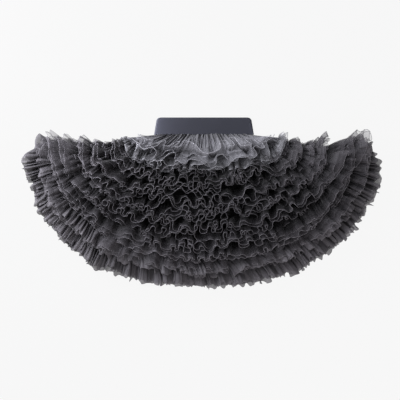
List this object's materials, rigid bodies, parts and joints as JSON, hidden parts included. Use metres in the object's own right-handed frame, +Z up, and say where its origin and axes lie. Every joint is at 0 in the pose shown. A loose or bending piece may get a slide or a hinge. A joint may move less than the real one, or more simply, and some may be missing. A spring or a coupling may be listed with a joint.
{
  "type": "tutu skirt",
  "caption": "Child's extra-full ruffled tulle tutu skirt laid flat in a fan, with a wide smooth waistband, a gathered yoke and rows of standing ruffles.",
  "frame": {"origin": "middle of the footprint, on the surface that the skirt lies on", "axes": "+X from the left side fold to the right one as seen from above, +Y from the hem to the waistband, +Z up, away from the surface"},
  "size_m": [0.8635, 0.4164, 0.0993],
  "materials": {
    "waistband": "smooth satin-faced elastic",
    "yoke": "sheer gathered tulle",
    "skirt": "matte tulle",
    "back_layers": "crushed tulle layers",
    "ruffles": "matte gathered tulle"
  },
  "bodies": {
    "root": {"waistband_front": "waistband", "waistband_back": "waistband", "yoke_front": "yoke", "skirt_front": "skirt", "skirt_back_layers": "back_layers", "ruffle_row_1": "ruffles", "ruffle_row_2": "ruffles", "ruffle_row_3": "ruffles", "ruffle_row_4": "ruffles", "ruffle_row_5": "ruffles", "ruffle_row_6": "ruffles", "ruffle_row_7": "ruffles", "ruffle_row_8": "ruffles"}
  },
  "joints": []
}
